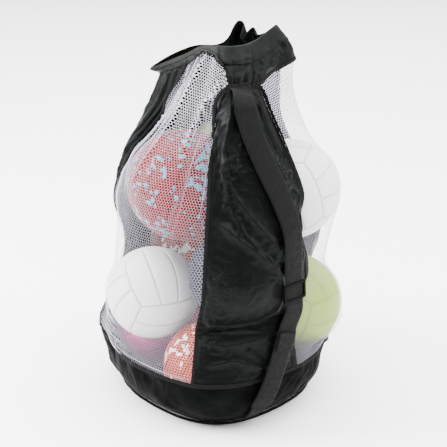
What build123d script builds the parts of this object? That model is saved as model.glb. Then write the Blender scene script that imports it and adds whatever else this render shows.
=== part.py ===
from build123d import *
import os
from math import cos, radians, sin

# Ball bag with a drawn neck, standing full of balls. Millimetres, +Z up.
# The origin is the centre of the base's underside. The rounded-square base has its sides along X and Y.
# An azimuth is an angle round Z from -Y towards +X.

# Driving dimensions
WALL = 2.0                 # cloth, with its coating and folds
TAPE = 1.4                 # seam binding
BINDING_GAP = 0.3          # between the binding and the cloth under it
TAPE_WIDTH = 20.0
SQUARENESS = 3.0           # exponent of the rounded-square sections
POINTS_ROUND = 32          # points in each section's outline
MOUTH_LEAN = -45.0         # azimuth that the neck leans away from, in degrees
BAND_TOP = 125.0
NECK = 700.0
COLLAR_TOP = 772.0
HEM_TOP = 828.0
REACH = 600.0              # further from the axis than any of the bag
EYELET_AZIMUTHS = (152, 178)
EYELET_RADIUS = 7.3
EYELET_BORE = 4.5
BASE_THICK = 4.0
PIPING = 3.5
PIPING_LOW = 1.0
PIPING_HEIGHT = 9.0

# Height, half-width and lean of the section at that height
BAND_LEVELS = [(0, 184, 0), (20, 210, 0), (45, 234, 0), (80, 251, 0), (BAND_TOP, 258, 0)]
BAG_LEVELS = [(BAND_TOP, 258, 0), (260, 259, 0), (400, 258, 0),
              (470, 245, 0), (560, 212, 0), (650, 172, 5), (NECK, 148, 10)]
COLLAR_LEVELS = [(NECK, 148, 10), (736, 128, 18), (COLLAR_TOP, 105, 26)]
HEM_LEVELS = [(COLLAR_TOP, 105, 26), (800, 87, 34), (HEM_TOP, 70, 42)]
ALL_LEVELS = BAND_LEVELS + BAG_LEVELS[1:] + COLLAR_LEVELS[1:] + HEM_LEVELS[1:]

# Azimuths of the seams between the four side panels
SEAMS = {"front_left": -50, "front_right": 6, "back_right": 88, "back_left": 205}
PANELS = {
    "nylon_panel_front": ("front_left", "front_right"),
    "mesh_panel_right": ("front_right", "back_right"),
    "nylon_panel_back": ("back_right", "back_left"),
    "mesh_panel_left": ("back_left", "front_left"),
}

# Shoulder strap: azimuth and height of its route down the front panel
WEB_WIDTH = 50.0
WEB_THICK = 1.8
WEB_STANDOFF = 8.5         # from the skin to the middle of the webbing
UPPER_ROUTE = [(-29, 690), (-25, 640), (-19, 575), (-13, 510), (-9, 440)]
LOWER_ROUTE = [(-12, 236), (-17, 165), (-20, 126), (-22, 100), (-23.6, 82), (-25, 62)]
KNEE = (-8.5, 284)         # where the upper and lower webbing meet, below the slider
WEB_JOIN_GAP = 1.2
KNEE_STRAIGHT = 14.0       # straight webbing on each side of the knee
TAIL_ROUTE = [(-12.7, 226), (-15, 186)]
TAB_ROUTE = [(-30, 703), (-29.4, 694.8)]
PATCH_ROUTE = [(-24.5, 66), (-25.6, 44), (-26.6, 22), (-27.2, 12)]
PATCH_WIDTH = 40.0
SLIDER_WIDTH = 62.0
SLIDER_HEIGHT = 38.0
SLIDER_BAR = 5.0
SLIDER_DEEP = 7.0
SLIDER_BAR_DEEP = 2.2
SLIDER_BELOW_ROUTE = 26.0  # from the knee up to the slider's middle

# Balls: place of the centre, diameter
BALL_WALL = 2.6
VALVE_RADIUS = 4.0
VALVE_LENGTH = 16.0
VALVE_GAP = 0.15
BALLS = {
    "ball_yellow": ((116, -124, 196), 218),
    "ball_white_right": ((102, -120, 464), 218),
    "ball_white_left": ((-152, 45, 247), 202),
    "ball_red": ((-102, -1, 494), 237),
    "ball_pink": ((-41, 149, 108), 203),
    "ball_orange": ((-134, -116, 118), 205),
    "ball_front": ((-86, -148, 324), 205),
    "ball_back_low": ((149, 68, 108), 203),
    "ball_back_middle": ((71, 150, 281), 203),
    "ball_back_top": ((113, 92, 474), 199),
}


def direction(azimuth):
    """The level unit vector that points away from the axis at an azimuth in degrees."""
    return Vector(sin(radians(azimuth)), -cos(radians(azimuth)), 0)


def section_radius(half, azimuth):
    """Distance from the middle of a rounded square of that half-width to its outline."""
    x, y = abs(sin(radians(azimuth))), abs(cos(radians(azimuth)))
    return half / (x**SQUARENESS + y**SQUARENESS) ** (1 / SQUARENESS)


def level_at(z):
    """Half-width and lean at a height, by straight lines between the levels."""
    for (z0, half0, lean0), (z1, half1, lean1) in zip(ALL_LEVELS, ALL_LEVELS[1:]):
        if z <= z1:
            share = (z - z0) / (z1 - z0)
            return half0 + share * (half1 - half0), lean0 + share * (lean1 - lean0)
    return ALL_LEVELS[-1][1:]


def levels_between(low, high):
    """The levels from one height to another, with one at each end."""
    inside = [level for level in ALL_LEVELS if low < level[0] < high]
    return [(low, *level_at(low)), *inside, (high, *level_at(high))]


def lean_vector(lean):
    return direction(MOUTH_LEAN + 90) * lean


def on_bag(azimuth, z, standoff):
    """The point that far outside the bag's outer skin."""
    half, lean = level_at(z)
    out = section_radius(half + WALL, azimuth) + standoff
    return lean_vector(lean) + direction(azimuth) * out + Vector(0, 0, z)


def facing(azimuth, z):
    """The level unit vector square to the bag's skin at an azimuth."""
    along = on_bag(azimuth + 1, z, 0) - on_bag(azimuth - 1, z, 0)
    return along.cross(Vector(0, 0, 1)).normalized()


def outline(z, half, lean):
    """Flat rounded-square face at a height."""
    turns = [360 * i / POINTS_ROUND for i in range(POINTS_ROUND)]
    centre = lean_vector(lean) + Vector(0, 0, z)
    points = [centre + direction(t) * section_radius(half, t) for t in turns]
    return make_face(Spline(*points, periodic=True))


def bulk(levels, grow):
    """Solid body through the levels, its outline moved out by grow."""
    return loft([outline(z, half + grow, lean) for z, half, lean in levels], ruled=True)


def skin(levels, inner, outer):
    """Shell between two offsets of the levels."""
    return bulk(levels, outer) - bulk(levels, inner)


def wedge(start, end):
    """Upright prism from the axis that covers the azimuths from start to end."""
    if end < start:
        end += 360
    steps = max(1, round((end - start) / 30))
    rim = [direction(start + (end - start) * i / steps) * REACH for i in range(steps + 1)]
    return extrude(make_face(Polyline((0, 0, 0), *rim, close=True)), HEM_TOP)


def upright_strip(azimuth, width):
    """Upright slab through the axis towards one azimuth, for cutting a tape from a skin."""
    out = direction(azimuth)
    up = Vector(0, 0, 1)
    plane = Plane(origin=out * REACH / 2 + up * HEM_TOP / 2, x_dir=out.cross(up), z_dir=up)
    return plane * Box(width, REACH, HEM_TOP)


def largest(shape):
    """The one solid that a cut was meant to leave."""
    return max(shape.solids(), key=lambda s: s.volume)


def ribbon(points, outs, width, thick):
    """Flat band through points. outs are the directions that its face looks in."""
    faces = []
    for i, (point, out) in enumerate(zip(points, outs)):
        ahead = points[min(i + 1, len(points) - 1)]
        behind = points[max(i - 1, 0)]
        along = (ahead - behind).normalized()
        across = along.cross(out).normalized()
        faces.append(Plane(origin=point, x_dir=across, z_dir=along) * Rectangle(width, thick))
    return loft(faces, ruled=True)


def route(places, standoff):
    points = [on_bag(azimuth, z, standoff) for azimuth, z in places]
    outs = [facing(azimuth, z) for azimuth, z in places]
    return points, outs


def base_parts():
    lowest = BAND_LEVELS[0][1]
    base = extrude(outline(0, lowest - BINDING_GAP, 0), BASE_THICK)
    band = skin(BAND_LEVELS, 0, WALL)
    on_skin = WALL + BINDING_GAP
    rim = levels_between(PIPING_LOW, PIPING_LOW + PIPING_HEIGHT)
    piping = skin(rim, on_skin, on_skin + PIPING)
    around = levels_between(BAND_TOP - TAPE_WIDTH / 2, BAND_TOP + TAPE_WIDTH / 2)
    top_tape = skin(around, on_skin, on_skin + TAPE)
    return {"base_panel": base, "base_band": band, "base_piping": piping, "band_top_tape": top_tape}


def side_parts():
    whole = skin(BAG_LEVELS, 0, WALL)
    parts = {}
    for name, (start, end) in PANELS.items():
        parts[name] = whole & wedge(SEAMS[start], SEAMS[end])
    upright = levels_between(BAND_TOP + TAPE_WIDTH / 2 + 1, NECK - TAPE_WIDTH / 2 - 1)
    tapes = skin(upright, WALL + BINDING_GAP, WALL + BINDING_GAP + TAPE)
    for name, azimuth in SEAMS.items():
        parts["seam_tape_" + name] = largest(tapes & upright_strip(azimuth, TAPE_WIDTH))
    return parts


def collar_parts():
    collar = skin(COLLAR_LEVELS, 0, WALL)
    hem = skin(HEM_LEVELS, 0, 2 * WALL)
    eyelets = []
    middle, low, high = HEM_LEVELS[1], HEM_LEVELS[0], HEM_LEVELS[2]
    for azimuth in EYELET_AZIMUTHS:
        out = direction(azimuth)
        reach = section_radius(middle[1] + WALL, azimuth)
        centre = lean_vector(middle[2]) + out * reach + Vector(0, 0, middle[0])
        slope = (high[1] - low[1]) / (high[0] - low[0])
        plane = Plane(origin=centre, z_dir=Vector(out.X, out.Y, -slope).normalized())
        hem -= plane * Cylinder(EYELET_RADIUS + BINDING_GAP, 10 * WALL)
        eyelets.append(plane * (Cylinder(EYELET_RADIUS, 9) - Cylinder(EYELET_BORE, 12)))
    around = levels_between(NECK - TAPE_WIDTH / 2, NECK + TAPE_WIDTH / 2)
    seam = skin(around, WALL + BINDING_GAP, WALL + BINDING_GAP + TAPE)
    return {
        "collar": collar,
        "collar_hem": largest(hem),
        "collar_seam_tape": seam,
        "cord_eyelets": Compound(children=[largest(e) for e in eyelets]),
    }


def strap_frame():
    """Knee point, straight direction up the upper webbing, and its outward face there."""
    knee = on_bag(*KNEE, WEB_STANDOFF)
    straight_top = on_bag(*UPPER_ROUTE[-1], WEB_STANDOFF)
    up = (straight_top - knee).normalized()
    across = up.cross(facing(*KNEE)).normalized()
    return knee, up, across.cross(up).normalized()


def slider_part(knee, up, out):
    """Three-bar slide: the end bars pass over the webbing and the middle bar under it."""
    centre = knee + up * SLIDER_BELOW_ROUTE
    plane = Plane(origin=centre, x_dir=up.cross(out), z_dir=out)
    frame = Box(SLIDER_WIDTH, SLIDER_HEIGHT, SLIDER_DEEP)
    frame = fillet(frame.edges().filter_by(Axis.Z), 4)
    frame -= Box(WEB_WIDTH + 2, SLIDER_HEIGHT - 2 * SLIDER_BAR, SLIDER_DEEP + 2)
    tunnel = WEB_THICK + 1.2
    frame -= Box(WEB_WIDTH + 2, SLIDER_HEIGHT + 2, tunnel)
    below = Pos(0, 0, -(SLIDER_DEEP + tunnel) / 4)
    frame -= below * Box(WEB_WIDTH + 2, SLIDER_HEIGHT + 2, (SLIDER_DEEP - tunnel) / 2)
    bar = Pos(0, 0, -(tunnel + SLIDER_BAR_DEEP) / 2) * Box(WEB_WIDTH + 3, SLIDER_BAR, SLIDER_BAR_DEEP)
    return plane * (frame + bar)


def strap_parts():
    knee, up, out = strap_frame()
    points, outs = route(UPPER_ROUTE, WEB_STANDOFF)
    for above in (KNEE_STRAIGHT, WEB_JOIN_GAP / 2):
        points.append(knee + up * above)
        outs.append(out)
    upper = ribbon(points, outs, WEB_WIDTH, WEB_THICK)
    points, outs = route(LOWER_ROUTE, WEB_STANDOFF)
    for below in (KNEE_STRAIGHT, WEB_JOIN_GAP / 2):
        points.insert(0, knee - up * below)
        outs.insert(0, out)
    lower = ribbon(points, outs, WEB_WIDTH, WEB_THICK)
    tail_points, tail_outs = route(TAIL_ROUTE, WEB_STANDOFF + WEB_THICK + 1.6)
    tail = ribbon(tail_points, tail_outs, WEB_WIDTH - 2, WEB_THICK)
    top_points, top_outs = route(TAB_ROUTE, WEB_STANDOFF - 2.4)
    tab = ribbon(top_points, top_outs, WEB_WIDTH, WEB_THICK)
    patch_points, patch_outs = route(PATCH_ROUTE, WALL + WEB_THICK / 2)
    patch = ribbon(patch_points, patch_outs, PATCH_WIDTH, WEB_THICK)
    return {
        "strap_webbing_upper": upper,
        "strap_webbing_lower": lower,
        "strap_tail": tail,
        "strap_slider": slider_part(knee, up, out),
        "strap_top_tab": tab,
        "strap_bottom_patch": patch,
    }


def ball_parts():
    parts = {}
    for name, (place, diameter) in BALLS.items():
        radius = diameter / 2
        inward = -Vector(place[0], place[1], 0).normalized()
        mouth = Plane(origin=Vector(*place) + inward * radius, z_dir=inward)
        shell = Pos(*place) * (Sphere(radius) - Sphere(radius - BALL_WALL))
        shell -= mouth * Cylinder(VALVE_RADIUS + VALVE_GAP, 4 * BALL_WALL)
        valve = mouth * Pos(0, 0, -0.4 - VALVE_LENGTH / 2) * Cylinder(VALVE_RADIUS, VALVE_LENGTH)
        parts[name] = shell
        parts[name + "_valve"] = valve
    return parts


def main():
    os.makedirs("parts", exist_ok=True)
    parts = base_parts() | side_parts() | collar_parts() | strap_parts() | ball_parts()
    for name, shape in parts.items():
        export_step(shape, f"parts/{name}.step")
    knee, up, out = strap_frame()
    top = on_bag(*UPPER_ROUTE[0], WEB_STANDOFF)
    print("lift hinge", top, "knee", knee, "slide axis", up, "knee axis", up.cross(out))


main()
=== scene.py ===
"""Looks for the mesh ball bag: cloth drawn over the balls, a net with real holes, collar, strap and balls.

Units are metres, in the CAD frame. A view frame (right, away, up) is used where shapes are set out: it is the
CAD frame turned so that away points from the camera.
"""
import math

import bpy
import numpy as np
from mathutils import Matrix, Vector
from mathutils.bvhtree import BVHTree


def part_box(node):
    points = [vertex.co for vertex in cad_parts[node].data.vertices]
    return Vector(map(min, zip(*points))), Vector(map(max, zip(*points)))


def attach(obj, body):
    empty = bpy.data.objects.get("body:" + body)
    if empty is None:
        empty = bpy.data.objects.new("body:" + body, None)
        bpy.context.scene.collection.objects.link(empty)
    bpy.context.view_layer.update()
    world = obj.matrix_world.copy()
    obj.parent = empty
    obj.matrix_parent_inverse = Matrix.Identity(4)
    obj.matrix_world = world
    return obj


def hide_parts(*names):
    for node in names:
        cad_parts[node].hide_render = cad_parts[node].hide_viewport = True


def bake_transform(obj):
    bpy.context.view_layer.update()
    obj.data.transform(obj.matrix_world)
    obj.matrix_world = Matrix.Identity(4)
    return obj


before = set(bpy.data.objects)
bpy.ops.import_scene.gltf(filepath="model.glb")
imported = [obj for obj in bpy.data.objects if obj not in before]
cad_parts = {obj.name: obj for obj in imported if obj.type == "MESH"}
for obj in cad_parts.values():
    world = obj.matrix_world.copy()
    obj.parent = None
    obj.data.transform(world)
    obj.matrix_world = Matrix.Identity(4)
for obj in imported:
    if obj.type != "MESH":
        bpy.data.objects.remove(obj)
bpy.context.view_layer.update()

# ---- View frame, camera and room ----
VIEW_AZIMUTH = math.radians(-45.0)
CAMERA_BACK, CAMERA_HEIGHT, CAMERA_SIDE = 2.5, 1.3, 0.0146
CAMERA_PITCH = 20.22      # degrees below level
CAMERA_LENS, SENSOR_WIDTH = 97.2, 36.0                # millimetres
SKY_STRENGTH = 1.1
FLOOR_HALF, FLOOR_COLOR = 6.0, (0.93, 0.93, 0.93)
RIGHT = np.array([math.cos(VIEW_AZIMUTH), math.sin(VIEW_AZIMUTH), 0.0])
AWAY = np.array([-math.sin(VIEW_AZIMUTH), math.cos(VIEW_AZIMUTH), 0.0])
UP = np.array([0.0, 0.0, 1.0])
TINY = 1e-12              # keeps a division by a length from failing

# ---- Cloth ----
BAND_TOP = 0.125          # height of the seam over the base band
NECK = 0.715              # height near which the cloth closes to the collar
BALL_SKIN = 0.0028        # the cloth's middle stays this far off the balls
PANELS = ("nylon_front", "mesh_right", "nylon_back", "mesh_left")
COLUMNS = {"nylon_front": 32, "mesh_right": 48, "nylon_back": 70, "mesh_left": 56}     # of the cloth's grid
ROWS = 78
FINE = 2                  # points of the smooth cloth for each one that was solved, each way
# Where each seam lies: height and view azimuth in degrees, 0 towards the camera and 90 to the right
SEAM_LINES = {
    "front_left": [(0.125, -10), (0.24, -9), (0.30, -6), (0.50, -4), (0.62, -3), (0.715, -1)],
    "front_right": [(0.125, 40), (0.21, 41), (0.28, 47), (0.32, 50), (0.365, 48), (0.427, 43),
                    (0.475, 51), (0.51, 55), (0.62, 52), (0.715, 46)],
    "back_right": [(0.125, 133), (0.22, 125), (0.30, 108), (0.335, 101), (0.37, 104), (0.45, 118),
                   (0.56, 126), (0.715, 130)],
    "back_left": [(0.125, 286), (0.133, 279), (0.141, 271), (0.17, 267), (0.22, 263), (0.38, 262),
                  (0.45, 267), (0.52, 270), (0.575, 278), (0.638, 293), (0.68, 304), (0.715, 313)],
}
PANEL_SEAMS = {
    "nylon_front": ("front_left", "front_right"),
    "mesh_right": ("front_right", "back_right"),
    "nylon_back": ("back_right", "back_left"),
    "mesh_left": ("back_left", "front_left"),
}
# Spare cloth across: at mid-height, at the neck. Then spare cloth along, and how many gathers
SLACK = {
    "nylon_front": (1.012, 1.22, 1.020, 3.0),
    "mesh_right": (1.00, 1.04, 1.000, 2.0),
    "nylon_back": (1.015, 1.25, 1.015, 6.0),
    "mesh_left": (1.005, 1.35, 1.005, 4.0),
}
# How far each panel shrinks onto the balls, across and along, and how stiffly it bends
SHRINK = {
    "nylon_front": (0.93, 0.99, 0.16), "mesh_right": (0.76, 0.99, 0.05),
    "nylon_back": (0.90, 0.99, 0.10), "mesh_left": (0.80, 0.98, 0.05),
}
# The band's rim round the bag: view azimuth, and its share of the CAD skin's reach
RIM_FIT = [(-180, 0.93), (-150, 0.96), (-120, 0.965), (-100, 0.94), (-90, 0.905), (-80, 0.88),
           (-73, 0.868), (-60, 0.93), (-45, 0.985), (-20, 0.985), (0, 0.985), (20, 0.975), (45, 1.0),
           (60, 0.955), (75, 0.875), (90, 0.82), (110, 0.86), (135, 0.97), (160, 0.985), (180, 0.93)]

# The collar: (share of the way round, seam point, top point), in the view frame
SEAM_SHARES = {"front_left": 0.0, "front_right": 0.155, "back_right": 0.36, "back_left": 0.87}
COLLAR = [
    (0.000, (0.027, -0.124, 0.721), (0.012, -0.064, 0.788)),
    (0.050, (0.036, -0.126, 0.716), (0.032, -0.072, 0.789)),
    (0.100, (0.056, -0.118, 0.713), (0.060, -0.062, 0.791)),
    (0.155, (0.079, -0.096, 0.715), (0.082, -0.044, 0.797)),
    (0.240, (0.122, -0.048, 0.733), (0.102, -0.024, 0.808)),
    (0.310, (0.165, 0.004, 0.750), (0.125, 0.010, 0.818)),
    (0.360, (0.150, 0.062, 0.728), (0.113, 0.054, 0.796)),
    (0.410, (0.110, 0.096, 0.712), (0.086, 0.066, 0.786)),
    (0.434, (0.094, 0.106, 0.709), (0.081, 0.082, 0.796)),
    (0.444, (0.090, 0.107, 0.709), (0.075, 0.083, 0.797)),
    (0.465, (0.076, 0.098, 0.710), (0.052, 0.070, 0.777)),
    (0.486, (0.062, 0.108, 0.709), (0.058, 0.084, 0.807)),
    (0.501, (0.055, 0.108, 0.709), (0.044, 0.084, 0.810)),
    (0.530, (0.036, 0.098, 0.708), (0.026, 0.070, 0.780)),
    (0.590, (0.004, 0.104, 0.706), (0.002, 0.070, 0.764)),
    (0.670, (-0.052, 0.090, 0.704), (-0.048, 0.056, 0.764)),
    (0.740, (-0.100, 0.052, 0.714), (-0.098, 0.036, 0.748)),
    (0.790, (-0.122, 0.004, 0.718), (-0.137, -0.002, 0.730)),
    (0.830, (-0.100, -0.038, 0.730), (-0.098, -0.014, 0.748)),
    (0.870, (-0.063, -0.074, 0.752), (-0.060, -0.024, 0.766)),
    (0.905, (-0.040, -0.084, 0.770), (-0.040, -0.030, 0.778)),
    (0.930, (-0.024, -0.090, 0.782), (-0.023, -0.034, 0.784)),
    (0.955, (-0.008, -0.098, 0.775), (-0.010, -0.040, 0.785)),
    (0.980, (0.012, -0.110, 0.758), (0.002, -0.054, 0.787)),
]


def view_point(right, away, up):
    """A point of the view frame, in CAD axes."""
    return RIGHT * right + AWAY * away + UP * up


def to_view(points):
    """CAD points in the view frame."""
    points = np.asarray(points, float)
    return np.stack([points @ RIGHT, points @ AWAY, points[..., 2]], -1)


def view_direction(turn):
    """Level unit vector at a view azimuth in degrees."""
    t = np.radians(turn)
    return np.multiply.outer(np.sin(t), RIGHT) - np.multiply.outer(np.cos(t), AWAY)


def smooth(x, low, high):
    """0 up to low and 1 from high, on a smooth curve between them."""
    t = np.clip((np.asarray(x, float) - low) / (high - low), 0, 1)
    return t * t * (3 - 2 * t)


def unit(vectors, spare=0.0):
    return vectors / (np.linalg.norm(vectors, axis=-1, keepdims=True) + spare)


def half_turn(angle):
    """The same angle between -180 and 180 degrees."""
    return (np.asarray(angle) + 180) % 360 - 180


def turn_of(points):
    """View azimuth of points, in degrees."""
    view = to_view(points)
    return np.degrees(np.arctan2(view[..., 0], -view[..., 1]))


def reach_of(points):
    """Distance of points from the upright axis."""
    view = to_view(points)
    return np.hypot(view[..., 0], view[..., 1])


def make_camera():
    data = bpy.data.cameras.new("camera")
    data.lens, data.sensor_width = CAMERA_LENS, SENSOR_WIDTH
    camera = bpy.data.objects.new("camera", data)
    camera.location = view_point(CAMERA_SIDE, -CAMERA_BACK, CAMERA_HEIGHT)
    pitch = math.radians(CAMERA_PITCH)
    looking = Vector(AWAY * math.cos(pitch) - UP * math.sin(pitch))
    camera.rotation_mode = "QUATERNION"
    camera.rotation_quaternion = looking.to_track_quat("-Z", "Y")
    bpy.context.scene.collection.objects.link(camera)
    bpy.context.scene.camera = camera


def area_light(name, place, size, power, target=(0, 0, 0.4)):
    data = bpy.data.lights.new(name, "AREA")
    data.shape, data.size, data.size_y, data.energy = "RECTANGLE", size[0], size[1], power
    lamp = bpy.data.objects.new(name, data)
    lamp.location = Vector(view_point(*place))
    lamp.rotation_mode = "QUATERNION"
    lamp.rotation_quaternion = (Vector(target) - lamp.location).to_track_quat("-Z", "Y")
    bpy.context.scene.collection.objects.link(lamp)


def make_room():
    world = bpy.data.worlds.new("studio")
    world.use_nodes = True
    world.node_tree.nodes["Background"].inputs["Color"].default_value = (1, 1, 1, 1)
    world.node_tree.nodes["Background"].inputs["Strength"].default_value = SKY_STRENGTH
    bpy.context.scene.world = world
    mesh = bpy.data.meshes.new("floor")
    corners = [(x * FLOOR_HALF, y * FLOOR_HALF, 0) for x, y in ((-1, -1), (1, -1), (1, 1), (-1, 1))]
    mesh.from_pydata(corners, [], [(0, 1, 2, 3)])
    floor = bpy.data.objects.new("floor", mesh)
    floor.data.materials.append(plain_material("floor_paper", FLOOR_COLOR, 0.9))
    bpy.context.scene.collection.objects.link(floor)
    area_light("ceiling_light", (0, 0.6, 4.4), (8.5, 8.5), 2100, (0, 0, 0))
    area_light("key_light", (-2.6, -0.1, 1.8), (1.2, 1.6), 300)
    area_light("side_light", (2.2, -0.5, 1.5), (0.8, 1.8), 80)


# ---- Materials ----
class Nodes:
    """Short calls for building one material's node tree."""

    def __init__(self, name, roughness, **sockets):
        self.material = bpy.data.materials.new(name)
        self.material.use_nodes = True
        self.tree = self.material.node_tree
        self.shader = self.tree.nodes["Principled BSDF"]
        self.shader.inputs["Roughness"].default_value = roughness
        for socket, value in sockets.items():
            self.shader.inputs[socket.replace("_", " ")].default_value = value
        self.place = self.node("ShaderNodeTexCoord").outputs["Object"]

    def node(self, kind, inputs=(), **settings):
        made = self.tree.nodes.new(kind)
        for key, value in settings.items():
            setattr(made, key, value)
        for key, value in dict(inputs).items():
            if isinstance(value, bpy.types.NodeSocket):
                self.tree.links.new(value, made.inputs[key])
            else:
                made.inputs[key].default_value = value
        return made

    def noise(self, scale, detail=3.0, roughness=0.55):
        inputs = {"Vector": self.place, "Scale": scale, "Detail": detail, "Roughness": roughness}
        return self.node("ShaderNodeTexNoise", inputs).outputs["Fac"]

    def uv(self):
        return self.node("ShaderNodeUVMap", uv_map="UVMap").outputs["UV"]

    def wave(self, scale, axis, place, distortion=0.0):
        inputs = {"Vector": place, "Scale": scale, "Distortion": distortion}
        return self.node("ShaderNodeTexWave", inputs, bands_direction=axis).outputs["Fac"]

    def math(self, operation, a, b):
        return self.node("ShaderNodeMath", {0: a, 1: b}, operation=operation).outputs[0]

    def ramp(self, factor, stops, blend="LINEAR"):
        made = self.node("ShaderNodeValToRGB", {"Fac": factor})
        made.color_ramp.interpolation = blend
        elements = made.color_ramp.elements
        while len(elements) < len(stops):
            elements.new(0.5)
        for element, (position, value) in zip(elements, stops):
            element.position = position
            element.color = (*value, 1) if isinstance(value, tuple) else (value, value, value, 1)
        return made.outputs["Color"]

    def mix(self, factor, a, b):
        made = self.node("ShaderNodeMix", data_type="RGBA")
        for index, value in ((0, factor), (6, a), (7, b)):
            if isinstance(value, bpy.types.NodeSocket):
                self.tree.links.new(value, made.inputs[index])
            else:
                made.inputs[index].default_value = (*value, 1) if isinstance(value, tuple) else value
        return made.outputs[2]

    def bump(self, height, strength, distance, under=None):
        inputs = {"Height": height, "Strength": strength, "Distance": distance}
        if under:
            inputs["Normal"] = under
        return self.node("ShaderNodeBump", inputs).outputs["Normal"]

    def finish(self, color, roughness=None, normal=None):
        for socket, value in (("Base Color", color), ("Roughness", roughness), ("Normal", normal)):
            if isinstance(value, bpy.types.NodeSocket):
                self.tree.links.new(value, self.shader.inputs[socket])
            elif value is not None:
                self.shader.inputs[socket].default_value = (*value, 1)
        return self.material


def plain_material(name, color, roughness):
    n = Nodes(name, roughness)
    tint = tuple(0.97 * c for c in color)
    return n.finish(n.mix(n.noise(3.0), color, tint))


def nylon_material(name="nylon_black", rough=(0.33, 0.46), gloss=0.05, shade=0.85):
    """Coated nylon: fine plain weave, satin shine that breaks up over small crumples."""
    n = Nodes(name, 0.4, Sheen_Weight=0.01, Sheen_Roughness=0.4, Specular_IOR_Level=gloss)
    n.shader.inputs["Specular Tint"].default_value = (0.92, 1.0, 0.98, 1)
    crumple = n.noise(16.0, 4.0, 0.6)
    fine = n.noise(90.0, 3.0, 0.5)
    weave = n.math("MULTIPLY", n.wave(900.0, "X", n.uv()), n.wave(900.0, "Y", n.uv()))
    tones = [(0.3, (0.0012, 0.0013, 0.0014)), (0.6, (0.0020, 0.0023, 0.0023)),
             (0.8, (0.0045, 0.0052, 0.0050))]
    # shade scales every tone: 0.85 sets the nylon's own darkness, and the base band's copy takes 0.5 as
    # painted shade.
    color = n.ramp(crumple, [(at, tuple(shade * c for c in tone)) for at, tone in tones])
    rough = n.ramp(n.noise(40.0, 3.0), [(0.3, rough[0]), (0.7, rough[1])])
    normal = n.bump(crumple, 0.35, 0.006)
    normal = n.bump(fine, 0.22, 0.0012, normal)
    normal = n.bump(weave, 0.18, 0.0002, normal)
    return n.finish(color, rough, normal)


def webbing_material(name="webbing_black", weave=170.0):
    """Ribbed webbing: herringbone ribs along it and matte, dusty threads."""
    n = Nodes(name, 0.75, Sheen_Weight=0.01, Sheen_Roughness=0.5, Specular_IOR_Level=0.05)
    ribs = n.wave(weave, "X", n.uv())
    slant = n.wave(weave * 1.4, "DIAGONAL", n.uv())
    height = n.math("ADD", n.math("MULTIPLY", ribs, 0.6), n.math("MULTIPLY", slant, 0.4))
    color = n.mix(height, (0.0012, 0.0012, 0.0013), (0.0055, 0.0055, 0.0058))
    rough = n.ramp(n.noise(120.0), [(0.3, 0.62), (0.7, 0.85)])
    return n.finish(color, rough, n.bump(height, 0.6, 0.0006))


def net_material():
    """White polyester net yarn: faint lilac shade, fuzzy sheen, knitted ribs along the strands."""
    n = Nodes("mesh_white", 0.75, Sheen_Weight=0.04, Sheen_Roughness=0.5, Specular_IOR_Level=0.2)
    yarn = n.wave(520.0, "DIAGONAL", n.uv(), 1.5)
    tone = n.ramp(n.noise(9.0, 3.0), [(0.3, (0.41, 0.385, 0.465)), (0.7, (0.50, 0.485, 0.535))])
    color = n.mix(n.math("MULTIPLY", yarn, 0.22), tone, (0.33, 0.31, 0.385))
    rough = n.ramp(n.noise(150.0), [(0.3, 0.6), (0.7, 0.8)])
    return n.finish(color, rough, n.bump(yarn, 0.4, 0.0004))


def plastic_material(name, color):
    n = Nodes(name, 0.5, Specular_IOR_Level=0.03)
    grain = n.noise(400.0, 2.0)
    worn = n.ramp(n.noise(35.0, 4.0), [(0.55, color), (0.8, tuple(1.8 * c for c in color))])
    rough = n.ramp(n.noise(60.0), [(0.3, 0.50), (0.7, 0.66)])
    return n.finish(worn, rough, n.bump(grain, 0.25, 0.0002))


def ball_material(name, base, patch=None):
    """Pimpled rubber, with hard-edged patches of a second colour where the ball has one, and painted shade in
    the grooves between its panels.
    """
    n = Nodes(name, 0.5, Specular_IOR_Level=0.12)
    shade = n.mix(n.noise(7.0, 3.0), tuple(0.93 * c for c in base), base)
    if patch:
        cells = n.node("ShaderNodeTexVoronoi", {"Vector": n.place, "Scale": 112.0, "Randomness": 0.8})
        picked = n.ramp(cells.outputs["Color"], [(0.0, 0.0), (0.62, 1.0)], "CONSTANT")
        areas = n.ramp(n.noise(24.0, 2.0), [(0.0, 0.0), (0.51, 1.0)], "CONSTANT")
        shade = n.mix(n.math("MULTIPLY", picked, areas), shade, patch)
    # Painted shade: the grooves between the panels are darkened towards a quarter of the base colour.
    groove_depth_and_painted_shade = n.node("ShaderNodeAttribute", attribute_name="groove_depth_and_painted_shade").outputs["Fac"]
    shade = n.mix(n.math("MULTIPLY", groove_depth_and_painted_shade, 0.55), shade, tuple(0.25 * c for c in base))
    pimple = n.node("ShaderNodeTexVoronoi", {"Vector": n.place, "Scale": 330.0}).outputs["Distance"]
    rough = n.ramp(n.noise(50.0), [(0.3, 0.38), (0.7, 0.55)])
    return n.finish(shade, rough, n.bump(pimple, 0.3, 0.0004))


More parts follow.
